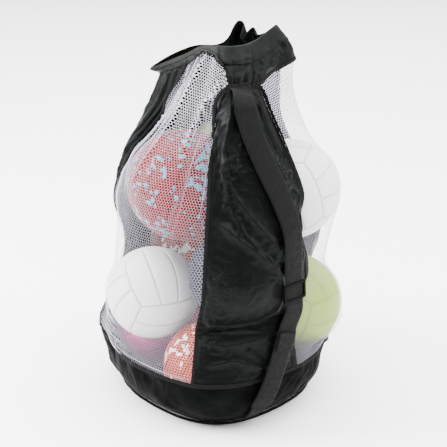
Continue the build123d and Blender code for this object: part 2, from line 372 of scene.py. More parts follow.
def make_materials():
    return {
        "nylon_black": nylon_material(),
        # The base band's nylon: rougher and less glossy, with its colours halved as painted shade of the
        # floor's contact below the band.
        "nylon_matt_painted_shade": nylon_material("nylon_black_matt_painted_shade", (0.62, 0.78), 0.018, 0.5),
        "binding_black": webbing_material("binding_black", 320.0),
        "webbing_black": webbing_material(),
        "mesh_white": net_material(),
        "slider_plastic": plastic_material("slider_plastic", (0.0016, 0.0016, 0.0017)),
        "eyelet_black": plastic_material("eyelet_black", (0.006, 0.006, 0.0065)),
        "valve_rubber": plastic_material("valve_rubber", (0.03, 0.03, 0.03)),
        "thread": plastic_material("thread_black", (0.008, 0.008, 0.0085)),
        "ball_white": ball_material("ball_white", (0.75, 0.76, 0.755)),
        # The red ball's base colour and its pale blue patches are darker than the ball's own colours: painted
        # shade of the bag's inside, under the net.
        "ball_red": ball_material("ball_red", (0.13, 0.0004, 0.003), (0.06, 0.24, 0.36)),
        "ball_yellow": ball_material("ball_yellow", (0.22, 0.31, 0.0)),
        "ball_pink": ball_material("ball_pink", (0.78, 0.03, 0.30)),
        "ball_orange": ball_material("ball_orange", (0.24, 0.02, 0.003), (0.60, 0.58, 0.54)),
        "ball_blue": ball_material("ball_blue", (0.006, 0.010, 0.020)),
    }


# ---- Building pieces ----
MATERIALS = {}


def new_piece(name, points, faces, look, body, uvs):
    """A mesh piece in the CAD frame that rides on a body, or on none yet. uvs is one pair for each point."""
    mesh = bpy.data.meshes.new(name)
    points, faces = np.asarray(points, float).reshape(-1, 3), np.asarray(faces, int)
    mesh.vertices.add(len(points))
    mesh.vertices.foreach_set("co", points.astype(np.float32).ravel())
    mesh.loops.add(faces.size)
    mesh.loops.foreach_set("vertex_index", faces.astype(np.int32).ravel())
    mesh.polygons.add(len(faces))
    mesh.polygons.foreach_set("loop_start", np.arange(0, faces.size, faces.shape[1], dtype=np.int32))
    mesh.update(calc_edges=True)
    layer = mesh.uv_layers.new(name="UVMap")
    layer.data.foreach_set("uv", np.asarray(uvs, np.float32)[faces.ravel()].ravel())
    mesh.validate()
    mesh.polygons.foreach_set("use_smooth", np.ones(len(mesh.polygons), bool))
    piece = bpy.data.objects.new(name, mesh)
    mesh.materials.append(MATERIALS[look])
    bpy.context.scene.collection.objects.link(piece)
    if body:
        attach(piece, body)
    return piece


def thicken(piece, thickness):
    made = piece.modifiers.new("thickness", "SOLIDIFY")
    made.thickness, made.offset, made.use_even_offset = thickness, 0.0, False
    return piece


def grid_faces(rows, columns, closed=False, closed_rows=False):
    """Quads of a grid whose points run along the columns first. It may close round either way."""
    i, j = np.meshgrid(np.arange(rows if closed_rows else rows - 1),
                       np.arange(columns if closed else columns - 1), indexing="ij")
    k, n = (j + 1) % columns, (i + 1) % rows
    return np.stack([i * columns + j, i * columns + k, n * columns + k, n * columns + j], -1).reshape(-1, 4)


def path_length(line):
    """Distance along a line to each of its points."""
    return np.concatenate([[0], np.cumsum(np.linalg.norm(np.diff(line, axis=0), axis=1))])


def grid_uvs(grid):
    """Distances across and along the cloth, in metres, for each point of a grid."""
    across = np.cumsum(np.linalg.norm(np.diff(grid, axis=1, prepend=grid[:, :1]), axis=2), axis=1)
    along = np.cumsum(np.linalg.norm(np.diff(grid, axis=0, prepend=grid[:1]), axis=2), axis=0)
    return np.stack([across, along], -1).reshape(-1, 2)


def grid_widths(grid):
    """Length of each row of a cloth grid."""
    return np.linalg.norm(np.diff(grid, axis=1), axis=2).sum(1)


def grid_normals(grid, closed=False):
    """Outward unit normals of a cloth grid whose columns run to the right and rows run up."""
    across = np.roll(grid, -1, 1) - np.roll(grid, 1, 1) if closed else np.gradient(grid, axis=1)
    return unit(np.cross(across, np.gradient(grid, axis=0)), TINY)


def finer(grid, axis, closed=False):
    """The grid with a point added between each pair along an axis, on a smooth curve."""
    g = np.moveaxis(np.asarray(grid, float), axis, 0)
    if closed:
        before, after, beyond = np.roll(g, 1, 0), np.roll(g, -1, 0), np.roll(g, -2, 0)
        between = (-before + 9 * g + 9 * after - beyond) / 16
        made = np.stack([g, between], 1).reshape(2 * len(g), *g.shape[1:])
    else:
        wide = np.concatenate([2 * g[:1] - g[1:2], g, 2 * g[-1:] - g[-2:-1]])
        between = (-wide[:-3] + 9 * wide[1:-2] + 9 * wide[2:-1] - wide[3:]) / 16
        made = np.empty((2 * len(g) - 1, *g.shape[1:]))
        made[0::2], made[1::2] = g, between
    return np.moveaxis(made, 0, axis)


def curve_through(keys, values, wanted, period=None):
    """Smooth curve through values at keys, read at the wanted places (Catmull-Rom, uneven keys)."""
    keys, values = np.asarray(keys, float), np.asarray(values, float)
    if period:
        keys = np.concatenate([keys[-2:] - period, keys, keys[:3] + period])
        values = np.concatenate([values[-2:], values, values[:3]])
    else:
        keys = np.concatenate([[2 * keys[0] - keys[1]], keys, [2 * keys[-1] - keys[-2]]])
        values = np.concatenate([[2 * values[0] - values[1]], values, [2 * values[-1] - values[-2]]])
    shape = (-1, *[1] * (values.ndim - 1))
    slope = (values[2:] - values[:-2]) / (keys[2:] - keys[:-2]).reshape(shape)
    inner_keys, inner = keys[1:-1], values[1:-1]
    k = np.clip(np.searchsorted(inner_keys, wanted, "right") - 1, 0, len(inner_keys) - 2)
    span = inner_keys[k + 1] - inner_keys[k]
    t = ((wanted - inner_keys[k]) / span).reshape(shape)
    span = span.reshape(shape)
    a, b, m, n = inner[k], inner[k + 1], slope[k] * span, slope[k + 1] * span
    ends = (2 * t**3 - 3 * t**2 + 1) * a + (t**3 - 2 * t**2 + t) * m
    return ends + (3 * t**2 - 2 * t**3) * b + (t**3 - t**2) * n


# ---- The CAD skin as a limit ----
SKIN_TURNS, SKIN_LEVELS = 120, 60      # entries round the bag and up it
SKIN_LOW, SKIN_HIGH = 0.004, 0.768     # first and last height
SKIN_MISSED = 0.15                     # reach where a ray meets nothing


def cad_tree(*names):
    """One tree of the faces of CAD nodes, for finding where their surfaces are."""
    points, faces = [], []
    for name in names:
        mesh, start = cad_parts[name].data, len(points)
        points += [v.co.copy() for v in mesh.vertices]
        faces += [[start + i for i in p.vertices] for p in mesh.polygons]
    return BVHTree.FromPolygons(points, faces)


def skin_table():
    """Reach of the CAD skin's inner face over height and azimuth."""
    tree = cad_tree("nylon_panel_front", "nylon_panel_back", "mesh_panel_left", "mesh_panel_right",
                    "base_band", "collar")

    def first_met(turn, z):
        hit = tree.ray_cast(Vector((0, 0, z)), Vector(view_direction(turn)))
        return SKIN_MISSED if hit[0] is None else hit[3]

    turns = np.arange(SKIN_TURNS) * 360 / SKIN_TURNS
    return np.array([[first_met(t, z) for t in turns] for z in np.linspace(SKIN_LOW, SKIN_HIGH, SKIN_LEVELS)])


def skin_reach(table, turn, z):
    """The table read between its entries."""
    share = (np.asarray(z) - SKIN_LOW) / (SKIN_HIGH - SKIN_LOW)
    i = np.clip(share * (SKIN_LEVELS - 1), 0, SKIN_LEVELS - 1.001)
    j = (np.asarray(turn) % 360) / 360 * SKIN_TURNS
    i0, j0 = i.astype(int), j.astype(int)
    fi, fj = i - i0, j - j0
    j0, j1 = j0 % SKIN_TURNS, (j0 + 1) % SKIN_TURNS
    low = table[i0, j0] * (1 - fj) + table[i0, j1] * fj
    high = table[i0 + 1, j0] * (1 - fj) + table[i0 + 1, j1] * fj
    return low * (1 - fi) + high * fi


# ---- Cloth before it is solved ----
SKIN_FIT = 0.985          # share of the CAD skin's reach where the cloth starts
RIM_FADE = 0.06           # height above the rim where the rim's own fit ends
NECK_BELOW = 0.012        # how far below the neck the top row starts
NECK_RISE = 0.84          # share of the height where the cloth starts to close to the collar's seam
SEAM_GATHER = 0.003       # how far the gathers stand out at the collar's seam
GATHER_DRIFT = 0.06       # how unevenly they are spaced
GATHER_EDGE = 0.12        # share of a panel's width over which they fade at its sides
STARTS = {name: sum(COLUMNS[other] for other in PANELS[:k]) for k, name in enumerate(PANELS)}
PARTS = {name: slice(STARTS[name], STARTS[name] + COLUMNS[name]) for name in PANELS}
TOTAL = sum(COLUMNS.values())


def column_shares():
    """Share of the way round the collar for each column, and each column's place across its panel."""
    shares, across = [], []
    for name in PANELS:
        low, high = (SEAM_SHARES[s] for s in PANEL_SEAMS[name])
        high = high if high > low else high + 1
        t = np.arange(COLUMNS[name]) / COLUMNS[name]
        shares.append(low + (high - low) * t)
        across.append(t)
    return np.concatenate(shares), np.concatenate(across)


def seam_turns(z):
    """View azimuth of each column at a height, with the seams where SEAM_LINES puts them."""
    turns = []
    for name in PANELS:
        low, high = (np.interp(z, *np.array(SEAM_LINES[s]).T) for s in PANEL_SEAMS[name])
        if high < low:
            high += 360
        if name == "mesh_left":
            low, high = low - 360, high - 360
        turns.append(low + (high - low) * np.arange(COLUMNS[name]) / COLUMNS[name])
    return np.concatenate(turns)


def ruffle(across, lift):
    """Gathers of each panel where it meets the collar: how far each column stands out."""
    out = np.zeros(len(across))
    for name, columns in PARTS.items():
        t, count = across[columns], SLACK[name][3]
        wave = np.sin(2 * np.pi * count * (t + GATHER_DRIFT * np.sin(5.0 * t + count)))
        out[columns] = lift * wave * smooth(np.minimum(t, 1 - t), 0.0, GATHER_EDGE)
    return out


def ring_outs(ring):
    """Level unit vectors that point out of a closed ring."""
    return unit(np.cross(np.roll(ring, -1, 0) - np.roll(ring, 1, 0), UP))


def collar_ring(which, lift=0.0):
    """The collar's seam line (which=1) or top line (which=2) at every column, in CAD axes."""
    shares, across = column_shares()
    ring = curve_through([s[0] for s in COLLAR], [s[which] for s in COLLAR], shares, period=1.0)
    ring = ring[:, :1] * RIGHT + ring[:, 1:2] * AWAY + ring[:, 2:] * UP
    return ring + ring_outs(ring) * ruffle(across, lift)[:, None]


def rim_fit(turns):
    """Share of the CAD skin's reach that the band's rim has."""
    return np.interp(half_turn(turns), *np.array(RIM_FIT).T)


def first_cloth(table):
    """The cloth before it is solved: on the CAD skin, closing to the collar's seam at the top."""
    top = collar_ring(1, SEAM_GATHER)
    cloth = np.empty((ROWS, TOTAL, 3))
    for r in range(ROWS):
        z = BAND_TOP + r / (ROWS - 1) * (NECK - NECK_BELOW - BAND_TOP)
        turns = seam_turns(z)
        low = 1 - smooth(z, BAND_TOP, BAND_TOP + RIM_FADE)
        reach = skin_reach(table, turns, z) * (SKIN_FIT * (1 - low) + rim_fit(turns) * low)
        cloth[r] = view_direction(turns) * reach[:, None] + UP * z
    rise = smooth(np.linspace(0, 1, ROWS), NECK_RISE, 1.0)[:, None, None]
    cloth = cloth * (1 - rise) + top[None] * rise
    cloth[-1] = top
    return cloth


SHRINKING = (170, 40, 0.0, 0.5, 0.6, None)
HANGING = (360, 80, 2.5e-5, 0.9, 0.5, 0.35)
LINK_STIFF, SHEAR_STIFF, SEAM_STIFF = 0.9, 0.12, 0.3
SLIP_DOWN, SLIP_UP = 0.014, 0.03        # how far a point may move down and up
SLIP_ROW = 0.0007                       # and down for each row above the rim, where that is less
SKIN_SPARE = 0.004                      # how far past the CAD skin the cloth may be
NECK_SPARE = 0.05                       # and at the neck
STRAP_SIDE = 26                         # degrees each side of the strap where the cloth holds it up
STRAP_FALL = 0.035                      # how much further in the cloth may be 20 degrees to its side
STRAP_LEAVES = (0.665, 0.70)            # heights between which the cloth stops holding it up
SEAM_LEAVES = (0.68, 0.72)              # and between which the seams are let go
NECK_WIDENS = (0.60, 0.70)              # and between which the neck's spare comes in
POINT_SLOPE = 0.3                       # share by which a limit below changes one width from its point
LAST_STEPS = 7                          # steps at the end that all keep to the limits, not every other one
FIRST_CLEAR = 0.006                     # how far off the balls the cloth starts
# Heights above the rim between which the shrinking across comes in, and the extra shrinking along goes out
ACROSS_FROM, ACROSS_TO, ALONG_FROM, ALONG_TO = 0.005, 0.10, 0.02, 0.12
RIM_PULL = 0.05                         # that extra shrinking, at the rim
SLACK_FROM = 0.55                       # share of the height where the spare cloth of the neck starts
FOLD_LOW, FOLD_HIGH = 0.0015, 0.008     # how far the first folds stand out, and how much more at the neck
# Where a seam stands out like a tent's pole: view azimuth, height, reach, and how soon that fades
TENT_POINTS = [(-90, 0.139, 0.262, 20, 0.05), (-93, 0.452, 0.226, 24, 0.075)]
# Where the cloth is drawn in between the balls: the same four figures
WAIST_POINTS = [(-90, 0.335, 0.206, 26, 0.075), (92, 0.333, 0.2325, 18, 0.05)]
# The line of the strap on the cloth: height and view azimuth
STRAP_LINE = [(0.05, 20), (0.1, 23), (0.165, 28), (0.236, 33), (0.284, 36.5), (0.44, 36), (0.51, 32),
              (0.575, 26), (0.64, 20), (0.69, 16)]


def spread(turn, z, azimuth, height, wide, tall):
    """How far off a point of the cloth is, counted in its own widths and heights."""
    return np.hypot(half_turn(turn - azimuth) / wide, (z - height) / tall)


def least_reach(turn, z, skin):
    """Least reach of the cloth: under the strap, so that the strap lies on it, and at the tent points."""
    aside = half_turn(turn - np.interp(z, *np.array(STRAP_LINE).T))
    least = skin - SKIN_SPARE - STRAP_FALL * (aside / 20) ** 2 - 0.5 * smooth(z, *STRAP_LEAVES)
    least = np.where(np.abs(aside) < STRAP_SIDE, np.maximum(least, 0), 0)
    for azimuth, height, reach, wide, tall in TENT_POINTS:
        off = spread(turn, z, azimuth, height, wide, tall)
        least = np.maximum(least, reach * (1 - POINT_SLOPE * off))
    return least


def waist(turn, z):
    """Most reach of the cloth between the balls."""
    most = np.ones(np.shape(z))
    for azimuth, height, reach, wide, tall in WAIST_POINTS:
        off = spread(turn, z, azimuth, height, wide, tall)
        most = np.minimum(most, reach * (1 + POINT_SLOPE * off ** 2))
    return most


def pull(a, b, rest, stiff, free_a, free_b, slack_stiff=None):
    """Moves two sets of points so their distances come nearer to the rest lengths."""
    gap = b - a
    length = np.sqrt((gap * gap).sum(-1)) + 1e-9
    error = (length - rest) / length
    if slack_stiff is not None:
        error = np.where(error < 0, error * slack_stiff, error)
    step = gap * (error * stiff / (free_a + free_b + 1e-9))[..., None]
    a += step * free_a[..., None]
    b -= step * free_b[..., None]


class Cloth:
    """The whole skin as one grid, closed round the columns, with its bottom and top rows held."""

    def __init__(self, grid, balls, table):
        self.p = grid.copy()
        self.free = np.ones(grid.shape[:2])
        self.free[0] = self.free[-1] = 0
        self.balls, self.table = balls, table
        self.start = grid[..., 2].copy()
        self.slip_down = np.minimum(SLIP_ROW * np.arange(1, grid.shape[0] - 1), SLIP_DOWN)
        self.bending = np.concatenate([np.full(COLUMNS[name], SHRINK[name][2]) for name in PANELS])

    def measure(self):
        """Takes the rest lengths and the lean of each square from the cloth as it lies."""
        p = self.p
        self.across = np.linalg.norm(np.roll(p, -1, 1) - p, axis=2)
        self.along = np.linalg.norm(p[1:] - p[:-1], axis=2)
        square = self.slant()
        self.lean = [np.linalg.norm(p[1:][:, high] - p[:-1][:, low], axis=2) / square
                     for low, high in self.diagonals()]

    def diagonals(self):
        """Columns at the low and the high end of each diagonal of a grid square, for both diagonals."""
        here = np.arange(self.p.shape[1])
        return (here, np.roll(here, -1)), (np.roll(here, -1), here)

    def slant(self):
        """Length of a square's diagonal if its sides stay at right angles."""
        across, along = self.across, self.along
        return np.hypot((across[1:] + across[:-1]) / 2, (along + np.roll(along, -1, 1)) / 2)

    def links(self, stiff, slack_stiff):
        """Pulls neighbours towards their rest distances, every second link at a time."""
        p, w, n = self.p, self.free, self.p.shape[1]
        for k in (0, 1):
            a, b = np.arange(k, n, 2), (np.arange(k, n, 2) + 1) % n
            pa, pb = p[:, a], p[:, b]
            pull(pa, pb, self.across[:, a], stiff, w[:, a], w[:, b], slack_stiff)
            p[:, a], p[:, b] = pa, pb
            pull(p[k:-1:2], p[k + 1::2], self.along[k::2], stiff, w[k:-1:2], w[k + 1::2], slack_stiff)

    def shear(self, stiff):
        """Pulls the squares' diagonals towards the lean they had when they were measured."""
        p, w = self.p, self.free
        square = self.slant()
        for k in (0, 1):
            for lean, (left, right) in zip(self.lean, self.diagonals()):
                low, high = p[k:-1:2][:, left], p[k + 1::2][:, right]
                pull(low, high, (square * lean)[k::2], stiff, w[k:-1:2][:, left], w[k + 1::2][:, right])
                rows = np.arange(k, p.shape[0] - 1, 2)
                p[np.ix_(rows, left)], p[np.ix_(rows + 1, right)] = low, high

    def bend(self, stiff):
        """Moves each point towards the middle of its neighbours, by its panel's own share."""
        p, w = self.p, self.free[..., None] * self.bending[None, :, None]
        smooth_across = (np.roll(p, 1, 1) + np.roll(p, -1, 1)) / 2 - p
        smooth_along = np.zeros_like(p)
        smooth_along[1:-1] = (p[2:] + p[:-2]) / 2 - p[1:-1]
        p += stiff * w * (smooth_across + smooth_along)

    def hold_seams(self, share):
        """Turns the four seams back towards their azimuths, by a share of what they are off."""
        for name in PANELS:
            line = np.array(SEAM_LINES[PANEL_SEAMS[name][0]])
            column = self.p[1:-1, STARTS[name]]
            off = half_turn(np.interp(column[:, 2], line[:, 0], line[:, 1]) - turn_of(column))
            angle = np.radians(off) * share * (1 - smooth(column[:, 2], *SEAM_LEAVES))
            x, y = column[:, 0].copy(), column[:, 1].copy()
            column[:, 0] = x * np.cos(angle) - y * np.sin(angle)
            column[:, 1] = x * np.sin(angle) + y * np.cos(angle)

    def limits(self):
        """Stays inside the CAD skin below the neck, outside what holds it up, and near its own height."""
        p = self.p[1:-1]
        turn, reach, z = turn_of(p), reach_of(p), p[..., 2]
        skin = skin_reach(self.table, turn, z)
        least = least_reach(turn, z, skin)
        most = np.minimum(skin + SKIN_SPARE + NECK_SPARE * smooth(z, *NECK_WIDENS), waist(turn, z))
        wanted = np.clip(reach, least, np.maximum(most, least))
        p[..., :2] *= (wanted / np.maximum(reach, 1e-6))[..., None]
        start = self.start[1:-1]
        p[..., 2] = start + np.clip(z - start, -self.slip_down[:, None], SLIP_UP)

    def solve(self, steps, quick_steps, fall, keep_speed, stiff_bend, slack_stiff):
        """Steps the cloth: it keeps a share of its speed, falls, and is pulled back into shape."""
        steps = steps
        before = self.p.copy()
        for step in range(steps):
            speed = (self.p - before) * keep_speed
            before = self.p.copy()
            self.p += (speed + np.array([0, 0, -fall])) * self.free[..., None]
            for _ in range(2):
                self.links(LINK_STIFF, slack_stiff)
            self.shear(SHEAR_STIFF)
            self.bend(stiff_bend)
            self.hold_seams(SEAM_STIFF)
            self.p = off_balls(self.p, self.balls, BALL_SKIN)
            if step % 2 == 0 or step >= steps - LAST_STEPS:
                self.limits()


def off_balls(points, balls, clearance):
    """The points, with those too near a ball moved straight out of it."""
    points = points.copy()
    for centre, radius in balls:
        gap = points - centre
        far = np.sqrt((gap * gap).sum(-1))
        inside = far < radius + clearance
        points[inside] = centre + gap[inside] * ((radius + clearance) / far[inside])[:, None]
    return points


def slack_tables():
    """Spare cloth across and along, for every grid point, from SLACK."""
    gather = smooth(np.linspace(0, 1, ROWS)[:, None], SLACK_FROM, 1.0)
    across, along = np.ones((ROWS, TOTAL)), np.ones((ROWS, TOTAL))
    for name, columns in PARTS.items():
        middle, neck, length, _ = SLACK[name]
        across[:, columns] = middle + (neck - middle) * gather
        along[:, columns] = length
    return across, along


def drape(table, balls):
    """Shrinks the cloth onto the balls, then gives it its spare cloth and lets it hang in folds."""
    cloth = Cloth(first_cloth(table), balls, table)
    cloth.p = off_balls(cloth.p, balls, FIRST_CLEAR)
    cloth.measure()
    for name, columns in PARTS.items():
        shrunk_across, shrunk_along, _ = SHRINK[name]
        height = cloth.p[:, columns, 2]
        firm = smooth(height, BAND_TOP + ACROSS_FROM, BAND_TOP + ACROSS_TO)
        cloth.across[:, columns] *= 1 - (1 - shrunk_across) * firm
        low = 1 - smooth(height[:-1], BAND_TOP + ALONG_FROM, BAND_TOP + ALONG_TO)
        cloth.along[:, columns] *= shrunk_along - RIM_PULL * low
    cloth.solve(*SHRINKING)
    cloth.measure()
    across, along = slack_tables()
    cloth.across *= across
    cloth.along *= along[:-1]
    s = np.linspace(0, 1, ROWS)
    size = FOLD_LOW + FOLD_HIGH * smooth(s, 0.45, 0.9) * (1 - smooth(s, 0.96, 1.0))
    fold = ruffle(column_shares()[1], 1.0)[None] * size[:, None]
    out = unit(cloth.p * [1, 1, 0])
    cloth.p[1:-1] += (out * fold[..., None])[1:-1]
    cloth.solve(*HANGING)
    return cloth.p


# ---- Fine shapes on the cloth ----
RIPPLE_WAVES = 14
RIPPLE_SPREAD = 1.6       # standard deviations that a ripple of 1 stands for
# Crumples of the front and the back nylon: height, size and seed of each layer
FRONT_CRUMPLES = ((0.0034, 0.085, 11), (0.0013, 0.036, 23))
BACK_CRUMPLES = ((0.0022, 0.09, 91), (0.0011, 0.04, 96))


def ripples(points, scale, seed):
    """Smooth noise of about -1 to 1: a sum of plane waves with directions fixed by the seed."""
    draw = np.random.default_rng(seed)
    total = np.zeros(points.shape[:-1])
    for _ in range(RIPPLE_WAVES):
        axis = draw.normal(size=3)
        axis *= draw.uniform(0.6, 1.6) / (scale * np.linalg.norm(axis))
        total += np.sin(points @ axis * 2 * np.pi + draw.uniform(0, 2 * np.pi))
    return total / math.sqrt(RIPPLE_WAVES / 2) / RIPPLE_SPREAD


def crumple(points, scale, seed):
    """Creased noise: sharp ridges between soft hollows, as in coated nylon."""
    first = 1 - np.abs(ripples(points, scale, seed)) * RIPPLE_SPREAD
    second = 1 - np.abs(ripples(points + 0.3 * scale, scale * 0.6, seed + 1)) * RIPPLE_SPREAD
    return np.maximum(first, 0.75 * second)


def crumples(grid, layers):
    """How far a grid's crumples stand out, all layers together."""
    return sum(height * crumple(grid, size, seed) for height, size, seed in layers)


def line_distance(x, y, line):
    """Distance from places to a polyline, and the share of the way along it."""
    best, share = np.full(x.shape, 1e9), np.zeros(x.shape)
    for k, ((ax, ay), (bx, by)) in enumerate(zip(line, line[1:])):
        dx, dy = bx - ax, by - ay
        t = np.clip(((x - ax) * dx + (y - ay) * dy) / (dx * dx + dy * dy), 0, 1)
        gap = np.hypot(x - ax - t * dx, y - ay - t * dy)
        share = np.where(gap < best, (k + t) / (len(line) - 1), share)
        best = np.minimum(best, gap)
    return best, share


def edge_fade(shape, aside, above):
    """1 over a grid, falling to 0 at its sides and at its ends, each over a share of its size."""
    t, s = (np.linspace(0, 1, count) for count in (shape[1], shape[0]))
    return smooth(np.minimum(t, 1 - t), 0.0, aside)[None] * smooth(np.minimum(s, 1 - s), 0.0, above)[:, None]


TURN_LENGTH = 0.0043      # metres round the bag for one degree, for laying folds out
# Long folds of the front nylon: points (view azimuth, height), how far it stands out, and its half-width
FRONT_FOLDS = [
    ([(-4, 0.480), (7, 0.446), (17.5, 0.409), (25, 0.378), (30, 0.345), (31.5, 0.305), (28, 0.277),
      (18, 0.262), (4, 0.255), (-9, 0.252)], 0.0105, 0.0095),
    ([(8, 0.60), (5, 0.56), (7, 0.50), (14, 0.44), (22, 0.40)], 0.007, 0.009),
    ([(12, 0.70), (9, 0.65), (6, 0.60), (7, 0.55), (13, 0.50), (21, 0.455), (28, 0.41), (33, 0.37)],
     0.012, 0.014),
    ([(24, 0.70), (22, 0.66), (14, 0.61), (12, 0.56)], 0.006, 0.009),
    ([(38, 0.69), (38, 0.64), (42, 0.60), (46, 0.56)], 0.007, 0.008),
    ([(30, 0.62), (38, 0.575), (45, 0.545), (53, 0.53)], 0.007, 0.007),
    ([(34, 0.585), (41, 0.53), (48, 0.50), (53, 0.475)], 0.007, 0.007),
    ([(40, 0.50), (46, 0.455), (44, 0.42)], 0.006, 0.006),
    ([(38, 0.40), (44, 0.385), (49, 0.365)], 0.006, 0.006),
    ([(-9, 0.232), (6, 0.240), (22, 0.246), (34, 0.262)], -0.009, 0.008),
    ([(-8, 0.215), (4, 0.205), (16, 0.212), (27, 0.226)], 0.006, 0.008),
    ([(-6, 0.165), (8, 0.175), (18, 0.158), (24, 0.150)], 0.005, 0.007),
    ([(14, 0.200), (18, 0.175), (19, 0.145), (16, 0.128)], 0.005, 0.006),
]


def crease_front(grid):
    """Puts the front nylon's folds and crumples onto its grid, less under the strap."""
    turn, z = turn_of(grid), grid[..., 2]
    wander = 1 + 0.25 * ripples(grid, 0.03, 5)
    lift = np.zeros(z.shape)
    for line, height, wide in FRONT_FOLDS:
        gap, share = line_distance(turn * TURN_LENGTH, z, [(a * TURN_LENGTH, b) for a, b in line])
        gap = gap * wander
        ends = smooth(share, 0.0, 0.12) * (1 - smooth(share, 0.88, 1.0))
        lift += height * ends * (np.exp(-np.abs(gap) / wide) * np.exp(-(gap / (2.5 * wide)) ** 2))
    fine = crumples(grid, FRONT_CRUMPLES)
    wrinkled = 0.55 + 0.45 * np.clip(ripples(grid, 0.16, 31) * 1.2, -1, 1)
    strap = turn - np.interp(z, *np.array(STRAP_LINE).T)
    flat = 1 - 0.75 * np.exp(-(strap * TURN_LENGTH / 0.03) ** 2)
    lift = (lift + fine * wrinkled) * edge_fade(z.shape, 0.05, 0.03) * flat
    return grid + grid_normals(grid) * lift[..., None]


# Folds of the left net below the collar: (share across the panel, height), how far out, how wide
NET_FOLDS = [
    ([(0.50, 0.76), (0.46, 0.70), (0.44, 0.62), (0.42, 0.54), (0.40, 0.47)], 0.0095, 0.0065),
    ([(0.86, 0.74), (0.74, 0.68), (0.68, 0.61), (0.67, 0.55)], 0.0085, 0.0070),
    ([(0.96, 0.71), (0.92, 0.65), (0.86, 0.59), (0.83, 0.53)], 0.0050, 0.0060),
    ([(0.26, 0.72), (0.18, 0.64), (0.14, 0.57), (0.13, 0.50)], 0.0070, 0.0080),
]


def crease_net(grid):
    """Lifts the left net along its folds."""
    widths, height = grid_widths(grid), grid[..., 2].mean(1)
    share = np.linspace(0, 1, grid.shape[1])[None]
    x, y = share * widths[:, None], np.broadcast_to(height[:, None], grid.shape[:2])
    lift = np.zeros(grid.shape[:2])
    for line, out, wide in NET_FOLDS:
        gap, along = line_distance(x, y, [(t * float(np.interp(z, height, widths)), z) for t, z in line])
        ends = smooth(along, 0.0, 0.10) * (1 - smooth(along, 0.60, 1.0))
        lift += out * ends * np.exp(-(gap / wide) ** 2)
    edge = smooth(share, 0.0, 0.08) * (1 - smooth(share, 0.88, 0.98))
    return grid + grid_normals(grid) * (lift * edge)[..., None]


def crease_back(grid):
    """Crumples the back nylon all over, less towards its edges."""
    lift = crumples(grid, BACK_CRUMPLES) * edge_fade(grid.shape, 0.04, 0.03)
    return grid + grid_normals(grid) * lift[..., None]


# ---- Sheets ----
NYLON_THICK, BAND_THICK = 0.0008, 0.0012


def cut_panel(grid, name):
    """One panel's own grid from the whole round, with both of its seam columns."""
    columns = (np.arange(COLUMNS[name] * FINE + 1) + STARTS[name] * FINE) % (TOTAL * FINE)
    return grid[:, columns]


def cloth_area(grid):
    a, b, c, d = grid[:-1, :-1], grid[:-1, 1:], grid[1:, 1:], grid[1:, :-1]
    return sum(np.linalg.norm(np.cross(q - a, r - a), axis=-1).sum() / 2 for q, r in ((b, c), (c, d)))


def declare_sheet(grid, measure=np.max):
    """Measures a cloth's greatest or mean width and length over its grid; the measures are not kept."""
    width = float(measure(grid_widths(grid)))
    length = float(measure(grid_widths(np.swapaxes(grid, 0, 1))))


def cloth_piece(name, grid, look, thickness=NYLON_THICK, closed=False):
    faces = grid_faces(*grid.shape[:2], closed)
    return thicken(new_piece(name, grid, faces, look, "bag", grid_uvs(grid)), thickness)


# ---- The net ----
NET_PITCH = 0.0065
# From a hole's middle to its corner: where the net is stretched over the balls, and slack at the neck
NET_HOLES = {"left": (0.00350, 0.00276), "right": (0.00350, 0.00286)}
NET_ROUND = 0.00035       # how far the strands' middles stand out
NET_OPEN, NET_CLOSED = 0.66, 0.92       # shares of the net's height between which its holes get smaller
KEY_STEP = 1000003        # makes one number of a point's two, to find the corners that cells share


def cell_middles(widths, up):
    """Middles of the net's cells on the flat cloth: distance to the right of its middle line, and up it."""
    row_high = NET_PITCH * math.sqrt(3) / 2
    across = int(widths.max() / NET_PITCH / 2) + 2
    rows, places = np.arange(int(up[-1] / row_high) + 2), np.arange(-across, across + 1)
    row, place = np.meshgrid(rows, places, indexing="ij")
    u, v = (place + 0.5 * (row % 2)) * NET_PITCH, row * row_high
    keep = (np.abs(u) < np.interp(v, up, widths) / 2 + 0.4 * NET_PITCH) & (v < up[-1] + 0.4 * row_high)
    return u[keep], v[keep]


def laid_on(grid, flat, widths, up, raised):
    """Points of the flat cloth laid on its grid, each raised off it."""
    rows, columns = grid.shape[:2]
    v = np.clip(flat[:, 1], 0, up[-1])
    row = np.clip(np.interp(v, up, np.arange(rows)), 0, rows - 1.0001)
    col = np.clip((flat[:, 0] / np.interp(v, up, widths) + 0.5) * (columns - 1), 0, columns - 1.0001)
    r, c = row.astype(int), col.astype(int)
    fr, fc = (row - r)[:, None], (col - c)[:, None]

    def read(g):
        low = g[r, c] * (1 - fc) + g[r, c + 1] * fc
        return low * (1 - fr) + (g[r + 1, c] * (1 - fc) + g[r + 1, c + 1] * fc) * fr

    return read(grid) + read(grid_normals(grid)) * raised[:, None]


